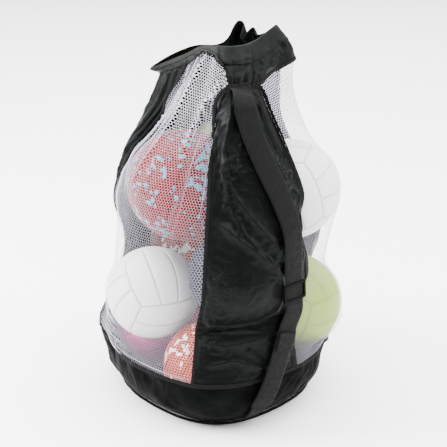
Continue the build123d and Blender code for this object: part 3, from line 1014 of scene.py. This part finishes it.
def net_piece(name, grid, holes):
    """A knitted net with a real six-sided hole in each cell, and the share of it that is strands."""
    widths, up = grid_widths(grid), path_length(grid[:, grid.shape[1] // 2])
    u, v = cell_middles(widths, up)
    turn = np.radians(30 + 60 * np.arange(6))
    open_by = (holes[0] + (holes[1] - holes[0]) * smooth(v / up[-1], NET_OPEN, NET_CLOSED))[:, None]
    corners = lambda far: np.stack([u[:, None] + far * np.cos(turn), v[:, None] + far * np.sin(turn)], -1)
    outer, inner = (corners(far).reshape(-1, 2) for far in (NET_PITCH / math.sqrt(3), open_by))
    key = np.round(outer / (NET_PITCH * 0.05)).astype(np.int64)
    _, first, back = np.unique(key[:, 0] * KEY_STEP + key[:, 1], return_index=True, return_inverse=True)
    flat = np.concatenate([outer[first], inner])
    raised = np.concatenate([np.full(len(first), NET_ROUND), np.zeros(len(inner))])
    points = laid_on(grid, flat, widths, up, raised)
    around = back.reshape(-1, 6)
    inside = len(first) + np.arange(len(inner)).reshape(-1, 6)
    quads = np.stack([around, np.roll(around, -1, 1), np.roll(inside, -1, 1), inside], -1).reshape(-1, 4)
    piece = new_piece(name, points, quads, "mesh_white", "bag", flat)
    a, b, c, d = (points[quads[:, k]] for k in range(4))
    strands = np.linalg.norm(np.cross(c - a, d - b), axis=1).sum() / 2
    return piece, strands / cloth_area(grid)


# ---- Ribbons, tapes and stitches ----
BINDING_THICK = 0.0011
STITCH_START, STITCH_PITCH, STITCH_LENGTH = 0.002, 0.0042, 0.0026
STITCH_ARCH = np.array([-0.6, 0.7, 1.0, 0.7, -0.6]) * 0.0009      # height along one stitch
STITCH_SIZE = np.array([0.5, 1.0, 1.0, 1.0, 0.5]) * 0.00042       # the thread's radius along it


def line_tangents(points, closed=False):
    ahead = np.roll(points, -1, 0) - np.roll(points, 1, 0) if closed else np.gradient(points, axis=0)
    return unit(ahead, TINY)


def tape_piece(name, line, normals, width, look, body="bag", thick=BINDING_THICK, raise_by=0.0, crown=0.0,
               closed=False, steps=6):
    """A flat tape along a line, facing along the normals. Its edges can drop by the crown's height."""
    tangent = line_tangents(line, closed)
    side = unit(np.cross(normals, tangent))
    facing = unit(np.cross(tangent, side))
    facing *= np.sign((facing * normals).sum(1, keepdims=True))
    t = np.linspace(-1, 1, steps + 1)
    grid = (line[:, None] + side[:, None] * (t * width / 2)[None, :, None]
            + facing[:, None] * (raise_by + crown * (1 - t * t))[None, :, None])
    size, along = grid.shape[:2], path_length(line)[:, None]
    uv = np.stack([np.broadcast_to(t * width / 2, size), np.broadcast_to(along, size)], -1)
    piece = new_piece(name, grid, grid_faces(*size, closed_rows=closed), look, body, uv.reshape(-1, 2))
    return thicken(piece, thick)


def binding(name, node, line, out, width, proud, crown, closed=False):
    """A binding tape sewn over a seam, standing a little proud of the cloth."""
    tape = tape_piece(name, line, out, width, "binding_black", raise_by=proud, crown=crown, closed=closed)
    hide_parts(node)


def stitch_row(name, line, normals):
    """A row of separate thread stitches lying on a surface, all in one piece."""
    along, tangent = path_length(line), line_tangents(line)
    ring = np.radians(np.arange(6) * 60)
    rise = (STITCH_ARCH[:, None] + np.outer(STITCH_SIZE, np.sin(ring)))[..., None]
    wide = np.outer(STITCH_SIZE, np.cos(ring))[..., None]
    at = lambda s, values: np.stack([np.interp(s, along, values[:, k]) for k in range(3)], -1)
    points, faces = [], []
    for start in np.arange(STITCH_START, along[-1] - STITCH_LENGTH, STITCH_PITCH):
        here = at(start + STITCH_LENGTH * np.linspace(0, 1, len(STITCH_ARCH)), line)
        out = unit(at(start + STITCH_LENGTH / 2, normals))
        side = np.cross(out, at(start + STITCH_LENGTH / 2, tangent))
        faces.append(grid_faces(len(here), len(ring), True) + len(points) * rise.size)
        points.append(here[:, None] + out * rise + side * wide)
    points = np.concatenate(points).reshape(-1, 3)
    return new_piece(name, points, np.concatenate(faces), "thread", "bag", points[:, :2])


# ---- Balls ----
BALL_LOOKS = {
    "ball_yellow": ("ball_yellow", (12, 25)), "ball_white_right": ("ball_white", (35, -20)),
    "ball_white_left": ("ball_white", (-20, 38)), "ball_red": ("ball_red", (20, 15)),
    "ball_pink": ("ball_pink", (40, 70)), "ball_orange": ("ball_orange", (-15, 30)),
    "ball_front": ("ball_blue", (60, 10)), "ball_back_low": ("ball_blue", (25, 50)),
    "ball_back_middle": ("ball_orange", (70, 20)), "ball_back_top": ("ball_yellow", (-40, 35)),
}
PANEL_EDGES = np.array([-45.0, -15.0, 15.0, 45.0])     # degrees over one face of the cube
CLOSE_LINES = np.array([-2.2, -1.3, -0.65, 0.0, 0.65, 1.3, 2.2])
GROOVE_WIDE, GROOVE_DEEP = 1.0, 0.0018     # degrees each side of a panel's edge, metres
PANEL_PUFF = 0.0006       # how far a panel swells beside its groove
ROUND_SIDES = 28          # of a valve or an eyelet
LINE_STEP, LINE_GAP, CLOSE_REACH = 3.9, 1.5, 2.3       # degrees: step, least gap, and how near an edge
VALVE_PROFILE = [(0.0075, -0.0016), (0.0072, 0.0002), (0.0050, 0.0007), (0.0030, 0.0005), (0.0022, -0.0004),
                 (0.0012, -0.0012), (0.0002, -0.0014)]
CUBE_FACES = [np.array(turn, float) for turn in (
    [[1, 0, 0], [0, 1, 0], [0, 0, 1]], [[-1, 0, 0], [0, -1, 0], [0, 0, 1]],
    [[0, 0, -1], [1, 0, 0], [0, -1, 0]], [[0, 0, 1], [-1, 0, 0], [0, -1, 0]],
    [[0, 1, 0], [0, 0, 1], [1, 0, 0]], [[0, -1, 0], [0, 0, 1], [-1, 0, 0]])]


def ball_lines():
    """Grid lines over one face of the cube, closer together at the panels' edges, where none is left out."""
    lines = np.concatenate([np.arange(-43, 44, LINE_STEP), *(PANEL_EDGES[:, None] + CLOSE_LINES)])
    lines = np.unique(np.round(lines[(lines >= -45) & (lines <= 45)], 2))
    kept = [lines[0]]
    for a in lines[1:]:
        if np.abs(PANEL_EDGES - a).min() < CLOSE_REACH or a - kept[-1] > LINE_GAP:
            kept.append(a)
    return np.radians(kept)


def ball_piece(name, centre, radius, tilt, look, body):
    """An 18-panel ball: three strips on each of six faces, turned a quarter from face to face."""
    lines = ball_lines()
    s, t = np.meshgrid(lines, lines, indexing="ij")
    flat = np.stack([np.ones_like(s), np.tan(s), np.tan(t)], -1)
    rim = np.minimum(np.pi / 4 - np.abs(s), np.pi / 4 - np.abs(t))
    strip = np.abs(s[..., None] - np.radians(PANEL_EDGES)).min(-1)
    gap = np.degrees(np.minimum(rim, strip))
    groove_depth_and_painted_shade = np.exp(-(gap / GROOVE_WIDE) ** 2)
    depth = GROOVE_DEEP * groove_depth_and_painted_shade - PANEL_PUFF * np.exp(-((gap - 5) / 5) ** 2)
    a, b = np.radians(tilt)
    spin = np.array([[math.cos(a), -math.sin(a), 0], [math.sin(a), math.cos(a), 0], [0, 0, 1]])
    lean = np.array([[1, 0, 0], [0, math.cos(b), -math.sin(b)], [0, math.sin(b), math.cos(b)]])
    quads = grid_faces(*s.shape)
    points, faces = [], []
    for k, turned in enumerate(CUBE_FACES):
        out = unit(flat @ turned.T)
        points.append((out * (radius - PANEL_PUFF - depth)[..., None]).reshape(-1, 3))
        faces.append((quads[:, ::-1] if np.linalg.det(turned) < 0 else quads) + k * s.size)
    points = np.concatenate(points)
    key = np.round(points / 1e-5).astype(np.int64)
    _, first, back = np.unique(key, axis=0, return_index=True, return_inverse=True)
    faces = back.reshape(-1)[np.concatenate(faces)]
    points = points[first] @ (spin @ lean).T
    piece = new_piece(name, points + centre, faces, look, body, points[:, :2])
    # The groove profile, which also sets the grooves' depth, is stored for the material's painted shade in
    # the grooves.
    shade = piece.data.attributes.new("groove_depth_and_painted_shade", "FLOAT", "POINT")
    shade.data.foreach_set("value", np.tile(groove_depth_and_painted_shade.ravel(), 6)[first].astype(np.float32))
    return piece


def turned_piece(name, centre, out, profile, look, body):
    """A round piece: a profile of (radius, height) pairs turned about an axis."""
    side = unit(np.cross(out, UP if abs(out[2]) < 0.9 else RIGHT))
    over = np.cross(out, side)
    turn = np.linspace(0, 2 * np.pi, ROUND_SIDES, endpoint=False)
    ring = np.cos(turn)[:, None] * side + np.sin(turn)[:, None] * over
    grid = np.array([centre + ring * r + out * h for r, h in profile])
    uv = np.stack([np.tile(turn * 0.01, len(profile)), np.repeat([h for _, h in profile], ROUND_SIDES)], -1)
    return new_piece(name, grid, grid_faces(len(profile), ROUND_SIDES, True), look, body, uv)


def make_balls():
    """The ten balls with their valves, and each one's centre and radius."""
    balls = []
    for name, (look, tilt) in BALL_LOOKS.items():
        low, high = (np.array(c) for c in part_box(name))
        centre, radius = (low + high) / 2, float((high - low).max()) / 2
        ball = ball_piece(name + "_cover", centre, radius, tilt, look, name)
        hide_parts(name)
        low, high = (np.array(c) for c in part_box(name + "_valve"))
        out = unit((low + high) / 2 - centre)
        valve = turned_piece(name + "_valve_boss", centre + out * (radius - 0.0008), out, VALVE_PROFILE,
                             "valve_rubber", name)
        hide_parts(name + "_valve")
        balls.append((centre, radius))
    return balls


# ---- Band and piping ----
BAND_KEYS = [0.004, 0.020, 0.045, 0.080, 0.125]     # heights where the CAD skin is read
BAND_FIT = (0.3, 0.5, 0.8, 1.0)                     # share of the rim's fit that each of them but the top has
BAND_ROWS, BAND_LOW, BAND_CROWDING = 34, 0.0022, 1.15   # rows crowd towards the bottom
BAND_PROUD, BAND_TUCK, BAND_CLEAR = 0.0004, 0.004, 0.0035      # off the skin, in at the bottom, off the balls
BAND_WAVES, BAND_CRUMPLES = (0.0030, 0.11, 3), (0.0020, 0.085, 44)      # height, size and seed
PIPING_HEIGHT, PIPING_RADIUS, PIPING_SIDES = 0.0048, 0.0030, 10


def band_grid(table, top_ring, balls):
    """The base band from its rounded bottom up to the cloth's lowest ring."""
    turn = turn_of(top_ring)
    out = view_direction(turn)[None]
    keys = np.array([skin_reach(table, turn, z) for z in BAND_KEYS])
    keys[-1] = reach_of(top_ring)
    for k, share in enumerate(BAND_FIT):
        keys[k] *= 1 - (1 - rim_fit(turn)) * share
    z = BAND_LOW + (BAND_TOP - BAND_LOW) * np.linspace(0, 1, BAND_ROWS) ** BAND_CROWDING
    reach = curve_through(BAND_KEYS, keys, np.maximum(z, BAND_KEYS[0])) + BAND_PROUD
    reach -= BAND_TUCK * (1 - smooth(z, 0.0, 0.009))[:, None]
    grid = out * reach[..., None] + UP * z[:, None, None]
    fade = smooth(z, 0.006, 0.03) * (1 - smooth(z, 0.108, 0.124))
    (wave, *wave_kind), (crease, *crease_kind) = BAND_WAVES, BAND_CRUMPLES
    waves = wave * ripples(grid * [1, 1, 1.6], *wave_kind) + crease * (crumple(grid, *crease_kind) - 0.5)
    grid = off_balls(grid + out * (waves * fade[:, None])[..., None], balls, BAND_CLEAR)
    grid[-1] = top_ring
    return grid


def tube_ring(name, line, radius, look, sides):
    """A closed cord sewn round the bag."""
    tangent = line_tangents(line, True)
    side = unit(np.cross(tangent, UP))
    turn = np.linspace(0, 2 * np.pi, sides, endpoint=False)[:, None, None]
    grid = line + radius * (np.cos(turn) * side + np.sin(turn) * np.cross(side, tangent))
    uv = np.stack([np.repeat(turn.ravel() * radius, len(line)), np.tile(path_length(line), sides)], -1)
    return new_piece(name, grid, grid_faces(sides, len(line), True, True), look, "bag", uv)


# ---- Collar ----
HEM_START = 0.58          # share of the way from the seam to the top edge
COLLAR_BULGE, COLLAR_PLEAT, COLLAR_CRUMPLE = 0.010, 0.0016, 0.0018
COLLAR_PLEATS = 11        # round the collar
CASING_OUT, CASING_IN = 0.0016, -0.0018     # the casing's two layers, off the collar's middle
CASING_ROLL = 1.012       # how far up its rolled top goes, as a share of the way to the top edge
EYELET_TURNS = {"cord_eyelet_left": 197.0, "cord_eyelet_right": 223.0}
EYELET_ROW = 7            # of the casing's outside
EYELET_PROFILE = [(0.0040, -0.0022), (0.0040, 0.0004), (0.0046, 0.0014), (0.0062, 0.0017), (0.0080, 0.0010),
                  (0.0083, 0.0002), (0.0078, -0.0004)]


def collar_grid(seam, top, levels, offset=0.0):
    """Rings of the collar's cloth between its seam and its top edge, pleated and crumpled."""
    shares = np.arange(len(seam)) / len(seam)
    pleats = np.sin(2 * np.pi * COLLAR_PLEATS * shares + 2.3 * np.sin(2 * np.pi * 3 * shares))
    seam_out, top_out = ring_outs(seam), ring_outs(top)
    rings = []
    for t in levels:
        arch = math.sin(math.pi * min(t, 1.0))
        ring = seam * (1 - t) + top * t
        lift = COLLAR_BULGE * arch * (1 - 0.5 * t) + COLLAR_PLEAT * pleats * arch ** 0.7
        lift = lift + COLLAR_CRUMPLE * crumple(ring, 0.05, 77) * arch
        rings.append(ring + unit(seam_out * (1 - t) + top_out * t) * (lift + offset)[:, None])
    return np.array(rings)


def lapped(rows, axis=0):
    """Rows of a closed ring with the first point again at the end."""
    return np.concatenate([rows, rows.take([0], axis)], axis)


def make_collar(seam):
    """Collar cloth, its hem folded into a casing, the stitches, and the eyelets in the casing's back."""
    top = finer(collar_ring(2), 0, True)
    cloth = collar_grid(seam, top, np.linspace(0, HEM_START + 0.03, 22))
    collar = cloth_piece("collar_cloth", cloth, "nylon_black", closed=True)
    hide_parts("collar")
    outside = collar_grid(seam, top, np.linspace(HEM_START, 1.0, 16), CASING_OUT)
    rolled = collar_grid(seam, top, [CASING_ROLL])
    inside = collar_grid(seam, top, np.linspace(0.995, HEM_START, 10), CASING_IN)
    casing = np.concatenate([outside, rolled, inside])
    hem = cloth_piece("collar_casing", casing, "nylon_black", closed=True)
    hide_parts("collar_hem")
    declare_sheet(lapped(cloth, 1))
    declare_sheet(lapped(casing, 1))
    normal = grid_normals(outside, True)
    for row in (1, 2):
        stitch_row("hem_stitches_%d" % row, lapped(outside[row]), lapped(normal[row]))
    seam_normal = grid_normals(cloth, True)[0]
    binding("collar_binding", "collar_seam_tape", seam, seam_normal, 0.008, 0.0008, 0.0004, True)
    for name, turn in EYELET_TURNS.items():
        place = int(np.argmin(np.abs(half_turn(turn_of(outside[EYELET_ROW]) - turn))))
        piece = turned_piece(name, outside[EYELET_ROW, place], normal[EYELET_ROW, place], EYELET_PROFILE,
                             "eyelet_black", "bag")
        if name == "cord_eyelet_left":
            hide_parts("cord_eyelets")


# ---- Strap ----
# Stations of the CAD's webbing: view azimuth, height
STATIONS = {
    "strap_webbing_upper": [(19.0, 0.6885), (21.2, 0.640), (26.5, 0.575), (32.2, 0.510), (36.0, 0.440),
                            (36.3, 0.360), (36.5, 0.300), (36.5, 0.2860)],
    "strap_webbing_lower": [(36.5, 0.2825), (36.3, 0.268), (33.0, 0.236), (28.0, 0.165), (25.0, 0.126),
                            (23.0, 0.100), (21.4, 0.082), (20.0, 0.0632)],
    "strap_tail": [(32.3, 0.2255), (31.2, 0.206), (30.0, 0.1865)],
    "strap_bottom_patch": [(20.5, 0.0655), (19.4, 0.044), (18.4, 0.022), (17.8, 0.0125)],
}
WEB_WIDTH, WEB_THICK = 0.050, 0.0018
WEB_STEP = 0.0025         # between the points along it
WEB_SHAPE = {"crown": 0.0012, "raise_by": -0.0008, "steps": 10}
PATCH_WIDTH, PATCH_STITCHED = 0.040, 0.016     # its width, and how far its stitches are from its middle
TAB_TURN = 21             # view azimuth where the strap is sewn under the collar


def strip_line(centres, outs):
    """Smooth line through stations, with smooth facings."""
    keys = path_length(centres)
    wanted = np.linspace(0, keys[-1], max(int(keys[-1] / WEB_STEP), 4) + 1)
    for _ in range(3):
        outs = np.concatenate([outs[:1], (outs[:-2] + 2 * outs[1:-1] + outs[2:]) / 4, outs[-1:]])
    return curve_through(keys, centres, wanted), unit(curve_through(keys, outs, wanted))


def line_on(node):
    """Middle line of a flat CAD strip, with the way it faces."""
    tree = cad_tree(node)
    centres, outs = [], []
    for turn, z in STATIONS[node]:
        away = view_direction(turn)
        hit = tree.ray_cast(Vector(away * 0.6 + UP * z), Vector(-away))
        centres.append(np.array(hit[0]) - np.array(hit[1]) * WEB_THICK / 2)
        outs.append(np.array(hit[1]))
    return strip_line(np.array(centres), np.array(outs))


def web_piece(name, node, line, facing, width, body="bag", **shape):
    """A length of webbing in place of a CAD node. With no body given, it rides on no body and its place is
    baked into its mesh.
    """
    piece = tape_piece(name, line, facing, width, "webbing_black", body, WEB_THICK, **shape)
    if body is None:
        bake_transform(piece)
    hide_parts(node)


def make_strap(seam):
    line, facing = line_on("strap_webbing_upper")
    top, top_out, ahead = line[0], facing[0], unit(line[0] - line[6])
    line, facing = np.concatenate([line, [2 * line[-1] - line[-2]]]), np.concatenate([facing, facing[-1:]])
    web_piece("shoulder_strap_upper", "strap_webbing_upper", line, facing, WEB_WIDTH, None, **WEB_SHAPE)

    line, facing = line_on("strap_webbing_lower")
    line, facing = np.concatenate([[2 * line[0] - line[1]], line]), np.concatenate([facing[:1], facing])
    web_piece("shoulder_strap_lower", "strap_webbing_lower", line, facing, WEB_WIDTH, None, **WEB_SHAPE)

    line, facing = line_on("strap_tail")
    web_piece("strap_loose_end", "strap_tail", line, facing, WEB_WIDTH - 0.002, "strap_lower",
              crown=0.0008, steps=10)

    line, facing = line_on("strap_bottom_patch")
    web_piece("strap_anchor_patch", "strap_bottom_patch", line, facing, PATCH_WIDTH, steps=8)
    side, face = np.cross(facing, line_tangents(line)), line + facing * WEB_THICK / 2
    for k, shift in enumerate((-PATCH_STITCHED, PATCH_STITCHED)):
        stitch_row("patch_stitches_%d" % k, face + side * shift, facing)
    shifts = np.linspace(-PATCH_STITCHED, PATCH_STITCHED, 12)[:, None]
    for k, row in enumerate((2, len(line) - 3)):
        outs = np.repeat(facing[row][None], len(shifts), 0)
        stitch_row("patch_cross_stitches_%d" % k, face[row] + side[row] * shifts, outs)

    sewn = seam[int(np.argmin(np.abs(turn_of(seam) - TAB_TURN)))]
    spots = np.array([sewn + UP * 0.012 - top_out * 0.002, sewn + top_out * 0.004,
                      (sewn + top) / 2 + top_out * 0.004 + UP * 0.004, top + ahead * 0.002,
                      top - ahead * 0.018 - top_out * 0.0022])
    line, facing = strip_line(spots, np.repeat(top_out[None], len(spots), 0))
    web_piece("strap_anchor_tab", "strap_top_tab", line, facing, WEB_WIDTH - 0.004, steps=8)


# ---- The whole bag ----
# Each seam's binding: width, and how far it stands off the cloth
SEAM_BINDINGS = {"front_left": (0.0080, 0.0006), "front_right": (0.0150, 0.0014),
                 "back_right": (0.0080, 0.0006), "back_left": (0.0080, 0.0006)}
NET_RESTS = {"left": ["ball_red_cover", "ball_white_left_cover"],
             "right": ["ball_white_right_cover", "ball_yellow_cover"]}


def make_panels(grid):
    """The two nylon panels and the two nets, with the bindings of the seams between them."""
    front = crease_front(finer(finer(cut_panel(grid, "nylon_front"), 0), 1))
    piece = cloth_piece("nylon_front_cloth", front, "nylon_black")
    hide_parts("nylon_panel_front")
    declare_sheet(front)

    back = crease_back(cut_panel(grid, "nylon_back"))
    piece = cloth_piece("nylon_back_cloth", back, "nylon_black")
    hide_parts("nylon_panel_back")
    declare_sheet(back)

    for side, rests in NET_RESTS.items():
        panel = cut_panel(grid, "mesh_" + side)
        if side == "left":
            panel = crease_net(panel)
        piece, solid = net_piece("mesh_%s_net" % side, panel, NET_HOLES[side])
        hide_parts("mesh_panel_" + side)
        declare_sheet(panel, measure=np.mean)

    normals = grid_normals(grid, True)
    for name in PANELS:
        seam, column = PANEL_SEAMS[name][0], STARTS[name] * FINE
        line, out, (width, proud) = grid[:, column], normals[:, column], SEAM_BINDINGS[seam]
        binding("seam_binding_" + seam, "seam_tape_" + seam, line, out, width, proud, 0.0006)


def make_band(table, rim, balls):
    """The base band with the binding and stitches along its top, and the piping along its bottom."""
    band = band_grid(table, rim, balls)
    # The band's nylon carries painted shade: its colours are halved.
    piece = cloth_piece("base_band_cloth", band, "nylon_matt_painted_shade", BAND_THICK, closed=True)
    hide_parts("base_band")
    declare_sheet(lapped(band, 1))
    out = view_direction(turn_of(rim))
    binding("band_binding", "band_top_tape", rim, out, 0.009, 0.0008, 0.0005, True)
    for k, rise in enumerate((-0.0032, 0.0032)):
        stitch_row("band_stitches_%d" % k, rim + out * 0.0018 + UP * rise, out)
    ring = band[3] + out * 0.0020
    ring[:, 2] = PIPING_HEIGHT
    cord = tube_ring("base_piping_cord", ring, PIPING_RADIUS, "binding_black", PIPING_SIDES)
    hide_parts("base_piping")


def make_bag():
    balls = make_balls()
    table = skin_table()
    grid = finer(finer(drape(table, balls), 1, True), 0)
    make_panels(grid)
    make_band(table, grid[0], balls)
    make_collar(grid[-1])
    make_strap(grid[-1])
    for node, look in (("base_panel", "nylon_black"), ("strap_slider", "slider_plastic")):
        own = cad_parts[node].data.materials
        own.clear()
        own.append(MATERIALS[look])


make_camera()
make_room()
MATERIALS.update(make_materials())
make_bag()
